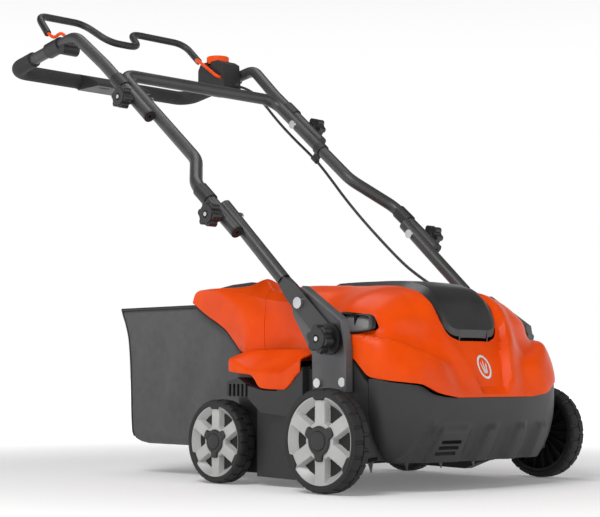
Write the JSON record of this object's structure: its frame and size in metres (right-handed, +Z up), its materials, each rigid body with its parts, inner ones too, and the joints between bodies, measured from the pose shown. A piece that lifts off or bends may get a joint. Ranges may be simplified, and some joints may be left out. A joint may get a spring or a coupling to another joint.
{
  "type": "lawn scarifier",
  "caption": "Walk-behind battery lawn scarifier with a folding looped handle, bail switch, spring-tine rotor, hinged rear flap and a fabric collector bag.",
  "frame": {"origin": "on the ground, in the middle of the machine's whole box", "axes": "-Y is forwards, away from the user; +Z up; +X to the right of the view from the front, the user's left"},
  "size_m": [0.638, 1.152, 1.0006],
  "materials": {
    "orange_shell": "moulded, semi-gloss",
    "dark_shell": "moulded, fine texture",
    "black_plastic": "moulded",
    "grey_insert": "moulded",
    "silver_rim": "moulded, silver coloured",
    "tread_rubber": "moulded tread",
    "bracket_steel": "zinc-plated sheet",
    "bolt_steel": "zinc-plated",
    "shaft_steel": "turned",
    "tine_steel": "spring steel",
    "handle_tube": "powder-coated steel tube",
    "foam_grip": "soft foam",
    "cable_sheath": "smooth sheath",
    "belt_rubber": "ribbed belt",
    "motor_can": "pressed steel can",
    "bag_fabric": "woven"
  },
  "bodies": {
    "chassis": {"lower_housing": "dark_shell", "front_apron": "dark_shell", "top_cover": "orange_shell", "battery_bay": "black_plastic", "battery_pack": "black_plastic", "side_grips": "grey_insert", "side_covers": "orange_shell", "side_casing_right": "dark_shell", "side_casing_left": "dark_shell", "bracket_left": "bracket_steel", "bracket_right": "bracket_steel", "bracket_bolts": "bolt_steel", "wheel_axles": "shaft_steel", "motor": "motor_can", "drive_belt": "belt_rubber", "rotor_bearings": "shaft_steel"},
    "rotor": {"rotor_shaft": "shaft_steel", "rotor_tines": "tine_steel", "rotor_pulley": "black_plastic"},
    "motor_drive": {"motor_pulley": "shaft_steel"},
    "handle_lower": {"lower_tube_left": "handle_tube", "lower_tube_right": "handle_tube", "handle_bolts_lower": "bolt_steel", "clamp_discs": "black_plastic", "cable_lower": "cable_sheath"},
    "handle_middle": {"middle_tube": "handle_tube", "middle_fittings": "black_plastic", "handle_bolts_upper": "bolt_steel"},
    "handle_upper": {"upper_tube": "handle_tube", "upper_fittings": "black_plastic", "grip_left": "foam_grip", "grip_right": "foam_grip", "grip_bracket": "black_plastic", "bail_hub": "black_plastic", "control_box": "dark_shell", "cable_upper": "cable_sheath"},
    "bail": {"bail_bar": "black_plastic"},
    "start_button": {"start_button": "orange_shell"},
    "battery_lid": {"battery_lid": "dark_shell"},
    "rear_flap": {"rear_flap": "orange_shell"},
    "collector": {"collector_bag": "bag_fabric", "collector_frame": "black_plastic"},
    "wheel_front_left": {"tyre_front_left": "tread_rubber", "rim_front_left": "silver_rim", "hub_cap_front_left": "black_plastic"},
    "wheel_front_right": {"tyre_front_right": "tread_rubber", "rim_front_right": "silver_rim", "hub_cap_front_right": "black_plastic"},
    "wheel_rear_left": {"tyre_rear_left": "tread_rubber", "rim_rear_left": "silver_rim", "hub_cap_rear_left": "black_plastic"},
    "wheel_rear_right": {"tyre_rear_right": "tread_rubber", "rim_rear_right": "silver_rim", "hub_cap_rear_right": "black_plastic"},
    "height_knob_left": {"height_knob_left": "black_plastic"},
    "height_knob_right": {"height_knob_right": "black_plastic"},
    "fold_knob_lower_left": {"fold_knob_lower_left": "black_plastic"},
    "fold_knob_lower_right": {"fold_knob_lower_right": "black_plastic"},
    "fold_knob_upper_left": {"fold_knob_upper_left": "black_plastic"},
    "fold_knob_upper_right": {"fold_knob_upper_right": "black_plastic"}
  },
  "joints": [
    {"name": "wheel_front_left_spin", "type": "hinge", "parent": "chassis", "child": "wheel_front_left", "pos_m": [0, -0.4548, 0.0875], "axis": [1, 0, 0], "continuous": true},
    {"name": "wheel_front_right_spin", "type": "hinge", "parent": "chassis", "child": "wheel_front_right", "pos_m": [0, -0.4548, 0.0875], "axis": [1, 0, 0], "continuous": true},
    {"name": "wheel_rear_left_spin", "type": "hinge", "parent": "chassis", "child": "wheel_rear_left", "pos_m": [0, -0.1468, 0.076], "axis": [1, 0, 0], "continuous": true},
    {"name": "wheel_rear_right_spin", "type": "hinge", "parent": "chassis", "child": "wheel_rear_right", "pos_m": [0, -0.1468, 0.076], "axis": [1, 0, 0], "continuous": true},
    {"name": "rotor_spin", "type": "hinge", "parent": "chassis", "child": "rotor", "pos_m": [0, -0.3698, 0.088], "axis": [1, 0, 0], "continuous": true},
    {"name": "motor_spin", "type": "hinge", "parent": "chassis", "child": "motor_drive", "pos_m": [0, -0.2548, 0.172], "axis": [1, 0, 0], "continuous": true},
    {"name": "handle_tilt", "type": "hinge", "parent": "chassis", "child": "handle_lower", "pos_m": [0, -0.3508, 0.321], "axis": [1, 0, 0], "range_deg": [-5, 20]},
    {"name": "fold_lower", "type": "hinge", "parent": "handle_lower", "child": "handle_middle", "pos_m": [0, -0.17099, 0.48519], "axis": [1, 0, 0], "range_deg": [0, 140], "deforming": ["cable_lower"]},
    {"name": "fold_upper", "type": "hinge", "parent": "handle_middle", "child": "handle_upper", "pos_m": [0, 0.13728, 0.74477], "axis": [-1, 0, 0], "range_deg": [-150, 0], "deforming": ["cable_upper"]},
    {"name": "bail_squeeze", "type": "hinge", "parent": "handle_upper", "child": "bail", "pos_m": [0, 0.3602, 0.88], "axis": [-1, 0, 0], "range_deg": [0, 24], "stiffness_Nm_per_rad": 0.8, "springref_deg": -45.84},
    {"name": "start_press", "type": "slide", "parent": "handle_upper", "child": "start_button", "axis": [0, 0, -1], "range_m": [0, 0.0035], "stiffness_N_per_m": 500, "springref_m": -0.003},
    {"name": "battery_lid_hinge", "type": "hinge", "parent": "chassis", "child": "battery_lid", "pos_m": [0, -0.2528, 0.355], "axis": [-1, 0, 0], "range_deg": [0, 75]},
    {"name": "rear_flap_hinge", "type": "hinge", "parent": "chassis", "child": "rear_flap", "pos_m": [0, -0.1908, 0.355], "axis": [1, 0, 0], "range_deg": [0, 75]},
    {"name": "collector_pull", "type": "slide", "parent": "chassis", "child": "collector", "axis": [0, 1, 0], "range_m": [0, 0.25]},
    {"name": "height_knob_left_turn", "type": "hinge", "parent": "handle_lower", "child": "height_knob_left", "pos_m": [0, -0.42487, 0.25683], "axis": [1, 0, 0], "continuous": true},
    {"name": "fold_knob_lower_left_turn", "type": "hinge", "parent": "handle_lower", "child": "fold_knob_lower_left", "pos_m": [0, -0.17099, 0.48519], "axis": [1, 0, 0], "continuous": true},
    {"name": "fold_knob_upper_left_turn", "type": "hinge", "parent": "handle_middle", "child": "fold_knob_upper_left", "pos_m": [0, 0.13728, 0.74477], "axis": [1, 0, 0], "continuous": true},
    {"name": "height_knob_right_turn", "type": "hinge", "parent": "handle_lower", "child": "height_knob_right", "pos_m": [0, -0.42487, 0.25683], "axis": [1, 0, 0], "continuous": true},
    {"name": "fold_knob_lower_right_turn", "type": "hinge", "parent": "handle_lower", "child": "fold_knob_lower_right", "pos_m": [0, -0.17099, 0.48519], "axis": [1, 0, 0], "continuous": true},
    {"name": "fold_knob_upper_right_turn", "type": "hinge", "parent": "handle_middle", "child": "fold_knob_upper_right", "pos_m": [0, 0.13728, 0.74477], "axis": [1, 0, 0], "continuous": true}
  ],
  "couplings": [
    {"joint": "motor_spin", "follows": "rotor_spin", "ratio": 2.6667}
  ]
}
